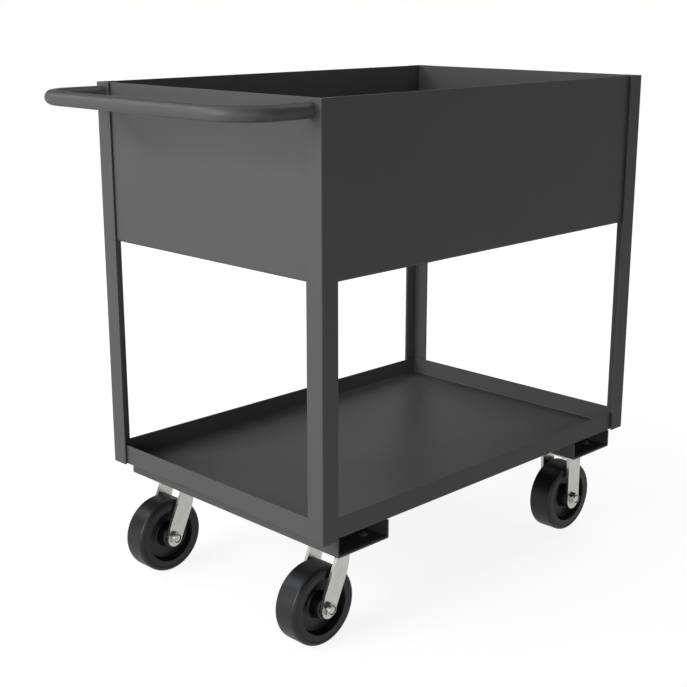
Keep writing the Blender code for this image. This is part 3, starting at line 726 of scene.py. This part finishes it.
class STOCKCART_OT_channels(bpy.types.Operator):
    """Build the two caster channels with their weld nuts"""

    bl_idname = "stockcart.channels"
    bl_label = "Caster Channels"

    def execute(self, context):
        sizes = context.scene.stock_cart_body
        caster = context.scene.stock_cart_casters
        plates = plate_places(*KINDS)
        for end, kind in (("handle", "swivel"), ("far", "rigid")):
            node = f"caster_channel_{end}_end"
            low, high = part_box(node)
            half, wall, tall = (high.x - low.x) / 2, sizes.channel_sheet, high.z - low.z
            outline = [
                (-half, tall), (-half, 0), (half, 0), (half, tall), (half - wall, tall),
                (half - wall, wall), (wall - half, wall), (wall - half, tall),
            ]
            corners = [(i, sizes.channel_fold, FOLD) for i in (1, 2)]
            corners += [(i, sizes.channel_fold - wall, 4) for i in (5, 6)]
            middle, end_y = (low + high) / 2, (high.y - low.y) / 2
            bm = on_side(slab(outline, -end_y, end_y, corners))
            moved(bm, at(middle.x, middle.y, low.z))
            nuts, holes = [], []
            floor = low.z + wall
            top = floor + sizes.nut_height
            for side in SIDES:
                plate = plates[kind, side]
                for x, y in bolt_places(caster):
                    place = (plate.x + x, plate.y + y)
                    nut = chamfered_hexagon(sizes.nut_flats, floor - wall / 2, top)
                    nuts.append(moved(nut, at(*place, 0)))
                    bore = caster.bolt / 2 + PLAY
                    holes.append(rod(bore, low.z - THROUGH, top + THROUGH, ROUND, place))
            bm = combined(bm, ("UNION", [joined(*nuts)]), ("DIFFERENCE", [joined(*holes)]))
            mesh = mesh_of(node, bm)
            piece(f"channel_{end}_end", node, mesh, "powder_coat", sizes.post_edge)
            stitches = []
            for x in (low.x, high.x):
                for share in (-0.72, -0.24, 0.24, 0.72):
                    bead = across(stitch(sizes.stitch, sizes.weld / 2))
                    stitches.append(moved(bead, at(x, share * high.y, high.z)))
            weld(f"stitches_{end}_end", mesh_of("stitches", joined(*stitches)))
        return {"FINISHED"}


def stitch(length, thick, ripples=14):
    """A short weld bead that stands along Z: rippled, and round at both ends."""
    steps = 8 * ripples
    profile = []
    for i in range(steps + 1):
        share = i / steps
        from_end = min(share, 1 - share) * length
        swell = math.sqrt(1 - (1 - min(from_end / thick, 1)) ** 2)
        ripple = 1 + 0.1 * math.sin(2 * math.pi * ripples * share)
        profile.append((thick * swell * ripple, (share - 0.5) * length))
    return turned(profile, 16)


def bead_ring(radius, thick, ripples=30):
    """A rippled weld bead round Z."""
    bm = ring_bar(radius, thick, sides=14, steps=6 * ripples)
    for vert in bm.verts:
        middle = vert.co * Vector((1, 1, 0))
        middle.length = radius
        swell = 1 + 0.12 * math.sin(ripples * math.atan2(vert.co.y, vert.co.x))
        vert.co = middle + (vert.co - middle) * swell
    return bm


def weld(name, mesh):
    """A weld bead on the cart's body, under the same paint."""
    obj = dressed(name, mesh, "powder_coat")
    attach(obj, "cart")


def bent_pipe(start, reach, side, radius, bend, height):
    """A pipe that runs back from one post, turns twice and comes back to the other."""
    bm = bmesh.new()
    place = at(start, side, height) @ turn(-90, "Y")
    bmesh.ops.create_circle(bm, cap_ends=False, segments=48, radius=radius, matrix=place)
    ring = list(bm.edges)

    def run(vector):
        verts = new_verts(bmesh.ops.extrude_edge_only(bm, edges=ring))
        bmesh.ops.translate(bm, vec=vector, verts=verts)
        return [e for e in bm.edges if all(v in verts for v in e.verts)]

    def bend_round(y):
        bent = bmesh.ops.spin(
            bm, geom=ring, cent=(start - reach + bend, y, height), axis=(0, 0, 1),
            dvec=(0, 0, 0), angle=math.pi / 2, steps=20, use_merge=False,
            use_duplicate=False,
        )
        return [e for e in bent["geom_last"] if isinstance(e, bmesh.types.BMEdge)]

    ring = run((bend - reach, 0, 0))
    ring = bend_round(side - bend)
    ring = run((0, -2 * (side - bend), 0))
    ring = bend_round(bend - side)
    run((reach - bend, 0, 0))
    return bm


class STOCKCART_OT_handle(bpy.types.Operator):
    """Build the bent pipe handle"""

    bl_idname = "stockcart.handle"
    bl_label = "Push Handle"

    def execute(self, context):
        sizes = context.scene.stock_cart_body
        low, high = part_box("push_handle")
        radius = (high.z - low.z) / 2
        side = (high.y - low.y) / 2 - radius
        reach = high.x - low.x - radius
        height = (low.z + high.z) / 2
        bm = bent_pipe(high.x, reach, side, radius, sizes.pipe_bend, height)
        walls = sizes.pipe_edge, sizes.pipe_wall
        piece("handle", "push_handle", mesh_of("handle", bm), "powder_coat", *walls)
        for name, y_side in (("left", 1), ("right", -1)):
            bead = bead_ring(radius, 0.4 * sizes.weld)
            moved(bead, at(high.x, y_side * side, height) @ turn(90, "Y"))
            weld(f"handle_weld_{name}", mesh_of("handle_weld", bead))
        return {"FINISHED"}


# Casters

def rounded_plate(sizes):
    """A caster plate, its four slots that run outwards, its underside and its top."""
    low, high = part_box("swivel_plate_left")
    half_x, half_y = (high.x - low.x) / 2, (high.y - low.y) / 2
    bottom = high.z - sizes.plate
    outline = [(-half_x, -half_y), (half_x, -half_y), (half_x, half_y), (-half_x, half_y)]
    corners = [(i, sizes.plate_corner, 8) for i in range(4)]
    bm = slab(outline, bottom, high.z, corners)
    slots = []
    run = math.hypot(sizes.slot_in, sizes.slot_out)
    for x, y in bolt_places(sizes):
        half = sizes.slot / 2 * FULL
        outline = [(-half, -half), (run + half, -half), (run + half, half), (-half, half)]
        ends = [(i, half * FULL, 8) for i in range(4)]
        slot = slab(outline, bottom - THROUGH, high.z + THROUGH, ends)
        way = (math.copysign(sizes.slot_out, y), -math.copysign(sizes.slot_in, x))
        slots.append(moved(slot, at(x, y, 0) @ turn(math.degrees(math.atan2(*way)), "Z")))
    return bm, slots, bottom, high.z


def race_ring(sizes, height):
    """The ring of free space that the balls run in."""
    room = 0.0005
    return ring_bar(sizes.ball_circle / 2, sizes.ball / 2 + room, height)


class STOCKCART_OT_swivels(bpy.types.Operator):
    """Build the swivel plates, the ball races and the kingpins"""

    bl_idname = "stockcart.swivels"
    bl_label = "Swivel Plates and Races"

    def execute(self, context):
        sizes = context.scene.stock_cart_casters
        plate, slots, bottom, top = rounded_plate(sizes)
        crown_top = bottom - sizes.race
        level = bottom - sizes.race / 2  # of the balls' middles
        thick, clear = 0.003, 0.0008  # of the lip, and its gap to the crown
        outside = sizes.crown / 2 - clear
        lip = washer(outside - thick, outside, crown_top + clear, bottom + thick)
        bore = sizes.kingpin / 2 + SEAT
        head, head_height, sink_depth = sizes.kingpin_head / 2 + SEAT, 0.005, 0.0056
        sink = [
            (0, top + THROUGH), (head, top + THROUGH), (head, top),
            (bore, top - sink_depth), (bore, bottom - THROUGH), (0, bottom - THROUGH),
        ]
        plate = combined(
            plate,
            ("UNION", [lip]),
            ("DIFFERENCE", [*slots, turned(sink), race_ring(sizes, level)]),
        )
        plate = mesh_of("swivel_plate", plate)

        circle, wide, half = sizes.ball_circle / 2, 0.0018, 0.0006  # of the cage's strip
        cage = washer(circle - wide, circle + wide, level - half, level + half)
        balls = []
        for i in range(sizes.balls):
            balls.append(bmesh.new())
            spot = turn(360 * i / sizes.balls, "Z") @ at(circle, 0, level)
            bmesh.ops.create_uvsphere(
                balls[-1], u_segments=20, v_segments=12, radius=sizes.ball / 2,
                matrix=spot,
            )
        ring = mesh_of("ball_ring", combined(cage, ("UNION", balls)))

        radius, end = sizes.kingpin / 2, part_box("kingpin_left")[0].z
        pin_top, shank_end, overlap, pitch = top - SEAT, end + 0.009, 0.0005, 0.0014
        shank = turned([
            (0, pin_top), (head - 2 * SEAT, pin_top), (radius, pin_top - head_height),
            (radius, shank_end), (0, shank_end),
        ])
        screw = thread(radius, pitch, end, shank_end + overlap)
        pin = mesh_of("kingpin", combined(shank, ("UNION", [screw])))

        low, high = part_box("kingpin_nut_left")
        nut_low, nut_high, flange = low.z, high.z, (high.y - low.y) / 2
        deep, sunk = 0.003, 0.002  # the flange, and how far the hexagon stays under it
        rim = [
            (0, nut_high), (flange, nut_high), (flange, nut_high - deep / 2),
            (flange - deep, nut_high - deep), (0, nut_high - deep),
        ]
        nut = chamfered_hexagon(sizes.kingpin_nut, sunk - nut_high, -nut_low)
        moved(nut, turn(180, "X"))
        nut = combined(
            nut,
            ("UNION", [turned(rim, FINE)]),
            ("DIFFERENCE", [rod(bore, nut_low - THROUGH, nut_high + THROUGH)]),
        )
        nut = mesh_of("kingpin_nut", nut)

        set_out(
            plate_places("swivel"),
            ("swivel_top_plate", "swivel_plate", plate, "zinc_plate", 0.0004),
            ("caged_balls", "ball_ring", ring, "bearing_steel"),
            ("king_pin", "kingpin", pin, "zinc_plate"),
            ("king_pin_nut", "kingpin_nut", nut, "zinc_plate", 0.0003),
        )
        return {"FINISHED"}


def bent_strip(sizes, top, back, front):
    """A crown and both its legs as one strip of steel bent twice over Y."""
    half = sizes.gap / 2 + sizes.leg
    bm = row([(back, half, 0), (back, half, top), (back, -half, top), (back, -half, 0)])
    far = new_verts(bmesh.ops.extrude_edge_only(bm, edges=list(bm.edges)))
    bmesh.ops.translate(bm, vec=(front - back, 0, 0), verts=far)
    bends = edges_where(bm, lambda co: abs(co.z - top) < MERGE)
    bends = [edge for edge in bends if not edge.is_boundary]
    faced(rounded(bm, bends, sizes.bend, FOLD))
    if any(face.normal.z < -0.9 for face in bm.faces):
        bmesh.ops.reverse_faces(bm, faces=bm.faces)
    bmesh.ops.solidify(bm, geom=bm.faces, thickness=sizes.leg)
    return faced(bm)


def axle_hole(sizes, place):
    return moved(across(rod(sizes.axle / 2 + SEAT, -BESIDE, BESIDE)), at(*place))


class STOCKCART_OT_forks(bpy.types.Operator):
    """Build the forks of the swivel casters"""

    bl_idname = "stockcart.forks"
    bl_label = "Swivel Forks"

    def execute(self, context):
        sizes = context.scene.stock_cart_casters
        places = plate_places("swivel")
        axle = axle_places()["swivel", "left"] - places["swivel", "left"]
        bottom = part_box("swivel_plate_left")[1].z - sizes.plate
        crown_top = bottom - sizes.race
        slope = math.tan(sizes.swivel_lean)
        half = sizes.swivel_leg / 2 / math.cos(sizes.swivel_lean)
        radius = sizes.swivel_end / 2

        def edge_x(side, height):
            return axle.x + side * half + (height - axle.z) * slope

        def edge_z(side, x):
            return axle.z + (x - axle.x - side * half) / slope

        lean = Matrix.Rotation(-sizes.swivel_lean, 2)
        front, low = sizes.swivel_leg / 2, -sizes.swivel_drop - radius
        foot = Vector((axle.x, axle.z))
        back_end = foot + lean @ Vector((front - 2 * radius, low))
        front_end = foot + lean @ Vector((front, low))
        taper = axle.z + sizes.swivel_taper
        ahead, behind = sizes.crown_front, -sizes.crown_back
        outline = [
            tuple(back_end), tuple(front_end), (ahead, edge_z(1, ahead)), (ahead, ABOVE),
            (behind, ABOVE), (behind, edge_z(-1, behind)), (edge_x(-1, taper), taper),
            tuple(back_end + lean @ Vector((0, radius))),
        ]
        crown_corner, taper_corner = 0.004, 0.006
        corners = [
            (0, radius * FULL, 16), (1, radius * FULL, 16), (2, sizes.swivel_flare, 12),
            (5, crown_corner, 6), (6, taper_corner, 6),
        ]
        shape = on_side(slab(outline, -BESIDE, BESIDE, corners))
        strip_back, strip_front = -0.1, 0.006  # past the outline that trims it
        strip = bent_strip(sizes, crown_top - SEAT, strip_back, strip_front)
        crown = rod(sizes.crown / 2, crown_top - sizes.leg, crown_top, FINE)
        bore = rod(sizes.kingpin / 2 + PLAY, crown_top - THROUGH, crown_top + THROUGH)
        race = race_ring(sizes, bottom - sizes.race / 2)
        fork = combined(
            strip,
            ("INTERSECT", [shape]),
            ("UNION", [crown]),
            ("DIFFERENCE", [bore, race, axle_hole(sizes, (axle.x, 0, axle.z))]),
        )
        fork = mesh_of("fork", fork)
        set_out(places, ("swivel_fork", "fork", fork, "zinc_plate", 0.0006))
        return {"FINISHED"}


class STOCKCART_OT_brackets(bpy.types.Operator):
    """Build the brackets of the rigid casters"""

    bl_idname = "stockcart.brackets"
    bl_label = "Rigid Brackets"

    def execute(self, context):
        sizes = context.scene.stock_cart_casters
        axle = axle_places()["rigid", "left"]
        plate, slots, bottom, _ = rounded_plate(sizes)
        half, wide = sizes.rigid_leg / 2, sizes.rigid_crown / 2
        end = axle.z - sizes.rigid_drop
        shoulder = bottom - sizes.leg
        start = (half, shoulder - sizes.rigid_flare)
        flare = swept(start, (half, shoulder), (wide, shoulder))
        outline = [(-half, end - half), (half, end - half), *flare, (wide, ABOVE)]
        outline += [(-wide, ABOVE), *[(-x, z) for x, z in reversed(flare)]]
        corners = [(0, half * FULL, 16), (1, half * FULL, 16)]
        shape = on_side(slab(outline, -BESIDE, BESIDE, corners))
        strip_end = wide + 0.01  # past the outline that trims it
        strip = bent_strip(sizes, bottom + SEAT, -strip_end, strip_end)
        bracket = combined(
            strip,
            ("INTERSECT", [shape]),
            ("DIFFERENCE", [axle_hole(sizes, (0, 0, axle.z))]),
            ("UNION", [plate]),
            ("DIFFERENCE", slots),
        )
        bracket = mesh_of("bracket", bracket)
        names = "rigid_caster_bracket", "rigid_bracket"
        set_out(plate_places("rigid"), (*names, bracket, "zinc_plate", 0.0005))
        return {"FINISHED"}


# Wheels and axles

def wheel_mesh(sizes, radius, width):
    """A moulded wheel: hub, web, recessed sides and a tread with round corners."""
    half = width / 2
    hub_end = sizes.gap / 2 - 0.0005  # short of the legs
    bore = sizes.bushing / 2 + sizes.roller + 2 * SEAT
    hub, rim, web, slant = sizes.hub / 2, sizes.rim_bore / 2, sizes.web / 2, 0.003
    shoulder, crease = radius - sizes.tread_corner - 0.0006, sizes.crease
    side = [
        (bore, hub_end), (hub, hub_end), (hub + slant, web), (rim - slant, web),
        (rim, half), (shoulder - 2 * crease, half), (shoulder - crease, half - crease),
        (shoulder, half), (radius, half),
    ]
    profile = side + [(r, -y) for r, y in reversed(side)]
    bm = turned(profile, 96, closed=True)
    for way in (1, -1):
        outer = [(radius, way * half, sizes.tread_corner), (rim, way * half, 0.0014)]
        softened(bm, outer, 8)
        softened(bm, [
            (hub, way * hub_end, 0.001), (hub + slant, way * web, 0.003),
            (rim - slant, way * web, 0.0028), (bore, way * hub_end, 0.0006),
        ], 5)
    return mesh_of("wheel", across(bm))


def bearing_mesh(sizes):
    """Rollers round the bushing, in a cage of two rings and the bars between them."""
    inner = sizes.bushing / 2 + SEAT
    circle = inner + sizes.roller / 2
    outer = inner + sizes.roller
    end = sizes.gap / 2 - 0.001  # short of the legs
    face = end - 0.0025  # where a cage ring ends and the rollers start
    bar_radius = 0.0005
    shapes = []
    for i in range(sizes.rollers):
        roller = rod(sizes.roller / 2 - SEAT / 2, -face + SEAT, face - SEAT, 20)
        bar = rod(bar_radius, -face, face, 8)
        for shape, step in ((roller, i), (bar, i + 0.5)):
            spot = turn(360 * step / sizes.rollers, "Z") @ at(circle, 0, 0)
            shapes.append(moved(shape, spot))
    for way in (1, -1):
        shapes.append(washer(inner, outer - SEAT / 2, way * face, way * end))
    return mesh_of("bearing", across(joined(*shapes)))


def bushing_mesh(sizes):
    end = sizes.gap / 2 - SEAT
    outer, inner = sizes.bushing / 2 - 0.0001, sizes.axle / 2 + SEAT
    bm = washer(inner, outer, -end, end)
    softened(bm, [(outer, end, 0.0005), (outer, -end, 0.0005)], 2)
    return mesh_of("bushing", across(bm))


class STOCKCART_OT_wheels(bpy.types.Operator):
    """Build the wheels with their roller bearings and bushings"""

    bl_idname = "stockcart.wheels"
    bl_label = "Wheels and Bearings"

    def execute(self, context):
        sizes = context.scene.stock_cart_casters
        radius = middle_of("rigid_wheel_left").z
        wheel = wheel_mesh(sizes, radius, sizes.wheel_width)
        bearing, bushing = bearing_mesh(sizes), bushing_mesh(sizes)
        set_out(
            axle_places(),
            ("{}_caster_wheel", "{}_wheel", wheel, "moulded_wheel"),
            ("{}_roller_bearing", "{}_bearing", bearing, "bearing_steel"),
            ("{}_spanner_bushing", "{}_bushing", bushing, "zinc_plate"),
        )
        return {"FINISHED"}


def bolt_mesh(name, radius, flats, head, length, pitch, threaded):
    """A hex bolt along +Z from under its head, with a washer face and a cut thread."""
    face_height, overlap = 0.0004, 0.0005
    cap = chamfered_hexagon(flats, -head, -face_height)
    moved(cap, at(0, 0, -head - face_height) @ turn(180, "X"))
    face = rod(0.95 * flats / 2, -overlap, 0, FINE)
    shank = rod(radius, -head / 2, length - threaded + overlap)
    screw = thread(radius, pitch, length - threaded, length)
    taper = 0.18 * radius  # of the bolt's end
    above, taper_start = -head - THROUGH, length - 2 * taper
    limit = [
        (0, above), (flats, above), (flats, taper_start), (radius + taper, taper_start),
        (radius - taper, length), (0, length),
    ]
    steps = ("UNION", [face, shank, screw]), ("INTERSECT", [turned(limit, FINE)])
    return mesh_of(name, combined(cap, *steps))


class STOCKCART_OT_axles(bpy.types.Operator):
    """Build the axle bolts and their lock nuts"""

    bl_idname = "stockcart.axles"
    bl_label = "Axle Bolts and Nuts"

    def execute(self, context):
        sizes = context.scene.stock_cart_casters
        outside = sizes.gap / 2 + sizes.leg + SEAT
        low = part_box("rigid_axle_bolt_left")[0].y - axle_places()["rigid", "left"].y
        bolt = bolt_mesh(
            "axle_bolt", sizes.axle / 2, sizes.axle_flats, sizes.axle_head,
            outside - low, pitch=0.00195, threaded=0.022,
        )
        bolt.transform(at(0, outside, 0) @ turn(90, "X"))
        top = sizes.axle_nut + sizes.axle_collar
        bore = sizes.axle / 2 + SEAT
        outer, foot, lip = sizes.collar / 2, sizes.axle_nut, 0.0004
        dome = turned([(0, foot / 2), (outer, foot / 2), (outer, top), (0, top)], FINE)
        softened(dome, [(outer, top, 3 * lip)], 5)
        inside = outer - sizes.collar_lip
        pocket = [
            (0, foot), (inside, foot), (inside, top - 2 * lip), (inside - lip, top - lip),
            (inside - lip, top + THROUGH), (0, top + THROUGH),
        ]
        hole = rod(bore, -THROUGH, top + THROUGH, FINE)
        nut = combined(
            chamfered_hexagon(sizes.axle_flats, 0, sizes.axle_nut, both=True),
            ("UNION", [dome]),
            ("DIFFERENCE", [hole, turned(pocket, FINE)]),
        )
        nut = mesh_of("axle_nut", nut)
        near = SEAT / 10
        insert = washer(bore, inside - near, foot + near, top - 3 * lip)
        insert = mesh_of("insert", insert)
        facing = at(0, -outside, 0) @ turn(90, "X")
        nut.transform(facing)
        insert.transform(facing)
        for (kind, side), place in axle_places().items():
            set_out(
                {(kind, side): place},
                ("{}_axle", "{}_axle_bolt", bolt, "zinc_plate", 0.0002),
                ("{}_lock_nut", "{}_axle_nut", nut, "zinc_plate", 0.0002),
            )
            name = f"{kind}_nut_insert_{side}"
            body = BODY_OF[f"{kind}_axle_nut_{side}"]
            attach(dressed(name, moved_copy(insert, place), "nylon"), body)
        return {"FINISHED"}


class STOCKCART_OT_caster_bolts(bpy.types.Operator):
    """Build the sixteen bolts that hold the casters"""

    bl_idname = "stockcart.caster_bolts"
    bl_label = "Caster Bolts"

    def execute(self, context):
        sizes = context.scene.stock_cart_casters
        low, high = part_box("caster_bolt_01")
        start = low.z + sizes.bolt_head
        bolt = bolt_mesh(
            "caster_bolt", sizes.bolt / 2, sizes.bolt_flats, sizes.bolt_head,
            high.z - start, pitch=0.0015, threaded=0.0085,
        )
        for number in range(1, 17):
            node = f"caster_bolt_{number:02d}"
            mesh = moved_copy(bolt, (*middle_of(node).xy, start))
            piece(f"hex_bolt_{number:02d}", node, mesh, "zinc_plate", 0.0002)
        return {"FINISHED"}


# Studio

def area_lamp(name, place, width, power):
    """A square lamp that shines at the middle of the cart."""
    data = bpy.data.lights.new(name, "AREA")
    data.shape = "SQUARE"
    data.size = width
    data.energy = power
    lamp = linked(name, data)
    lamp.location = place
    aim = Vector((0, 0, 0.5)) - Vector(place)
    lamp.rotation_euler = aim.to_track_quat("-Z", "Y").to_euler()
    return data


def floor_material(settings):
    """Pale and matt, whiter far off as the camera sees it, and clear from below."""
    floor = Nodes(bpy.data.materials.new("pale_floor"))
    away = floor.add(
        "ShaderNodeVectorMath", {0: floor.coordinates["Object"]}, operation="LENGTH"
    )
    seen = floor.smooth_range(away.outputs["Value"], 0.8, 2.6, settings.white, 1.0)
    grey = settings.bounce
    made = floor.surface({
        "Base Color": (grey, grey, grey, 1), "Roughness": 0.9, "Specular IOR Level": 0.0,
        "Emission Color": (1, 1, 1, 1),
        "Emission Strength": floor.by_ray(seen, settings.glow),
    })
    face = floor.add("ShaderNodeNewGeometry").outputs["Backfacing"]
    pale = floor.tree.nodes["Principled BSDF"].outputs["BSDF"]
    clear = floor.add("ShaderNodeBsdfTransparent").outputs["BSDF"]
    mix = floor.add("ShaderNodeMixShader", {0: face, 1: pale, 2: clear}).outputs["Shader"]
    floor.feed(floor.tree.nodes["Material Output"].inputs, {"Surface": mix})
    return made


def studio_air(settings):
    """White to the camera; clear reflections see walls that darken upwards."""
    air = Nodes(bpy.data.worlds.new("air"))
    split = air.add("ShaderNodeSeparateXYZ", {0: air.coordinates["Generated"]})
    walls = air.smooth_range(
        split.outputs["Z"], 0.0, 0.45, settings.horizon, settings.ceiling
    )
    background = {"Color": (1, 1, 1, 1), "Strength": air.by_ray(1.0, walls)}
    air.feed(air.tree.nodes["Background"].inputs, background)
    return air.owner


class STOCKCART_OT_studio(bpy.types.Operator):
    """Build the floor, the lamps, the air and the camera"""

    bl_idname = "stockcart.studio"
    bl_label = "Studio"

    def execute(self, context):
        scene = context.scene
        settings = scene.stock_cart_studio
        bm = bmesh.new()
        bmesh.ops.create_grid(bm, x_segments=1, y_segments=1, size=30.0)
        mesh = bpy.data.meshes.new("floor")
        bm.to_mesh(mesh)
        bm.free()
        mesh.materials.append(floor_material(settings))
        linked("floor", mesh)
        scene.world = studio_air(settings)

        for name, place, width in (
            ("key", (-3.6, 0.6, 1.6), 2.4), ("front", (-2.4, -3.4, 0.8), 1.6),
            ("far", (2.4, -0.4, 3.4), 2.0), ("top", (0, 0, 3.6), 3.0),
            ("back", (2.6, 3.2, 1.8), 2.4), ("spark", (-1.81, 2.5, 2.62), 0.9),
        ):
            lamp = area_lamp(f"{name}_lamp", place, width, getattr(settings, name))
            if name == "spark":
                lamp.color = (0.84, 0.89, 1.0)

        data = bpy.data.cameras.new("camera")
        data.lens = settings.lens
        data.sensor_width = 36.0
        scene.camera = linked("camera", data)
        scene.camera.location = (-1.7985, -1.7743, 1.1385)
        scene.camera.rotation_euler = (math.radians(75), 0, math.radians(-45))
        scene.view_settings.view_transform = "Standard"
        return {"FINISHED"}


class STOCKCART_PT_panel(bpy.types.Panel):
    """The steps of the cart, in the order in which they are made"""

    bl_label = "Stock Cart"
    bl_idname = "STOCKCART_PT_panel"
    bl_space_type = "VIEW_3D"
    bl_region_type = "UI"
    bl_category = "Stock Cart"

    def draw(self, context):
        for step in STEPS:
            self.layout.operator(step.bl_idname)
        for group in GROUPS:
            settings = getattr(context.scene, group)
            column = self.layout.column(heading=group.replace("_", " "))
            for key in settings.bl_rna.properties.keys():
                if key not in ("rna_type", "name"):
                    column.prop(settings, key)


STEPS = (
    STOCKCART_OT_posts, STOCKCART_OT_trays, STOCKCART_OT_channels, STOCKCART_OT_handle,
    STOCKCART_OT_swivels, STOCKCART_OT_forks, STOCKCART_OT_brackets, STOCKCART_OT_wheels,
    STOCKCART_OT_axles, STOCKCART_OT_caster_bolts, STOCKCART_OT_studio,
)
GROUPS = {
    "stock_cart_body": BodySizes,
    "stock_cart_casters": CasterSizes,
    "stock_cart_colours": CartColours,
    "stock_cart_studio": StudioSettings,
}


def register():
    for made in (*GROUPS.values(), *STEPS, STOCKCART_PT_panel):
        bpy.utils.register_class(made)
    for key, group in GROUPS.items():
        setattr(bpy.types.Scene, key, PointerProperty(type=group))


def unregister():
    for key in GROUPS:
        delattr(bpy.types.Scene, key)
    for made in reversed((*GROUPS.values(), *STEPS, STOCKCART_PT_panel)):
        bpy.utils.unregister_class(made)


def main():
    register()
    for step in STEPS:
        group, name = step.bl_idname.split(".")
        getattr(getattr(bpy.ops, group), name)()


if __name__ == "__main__":
    main()
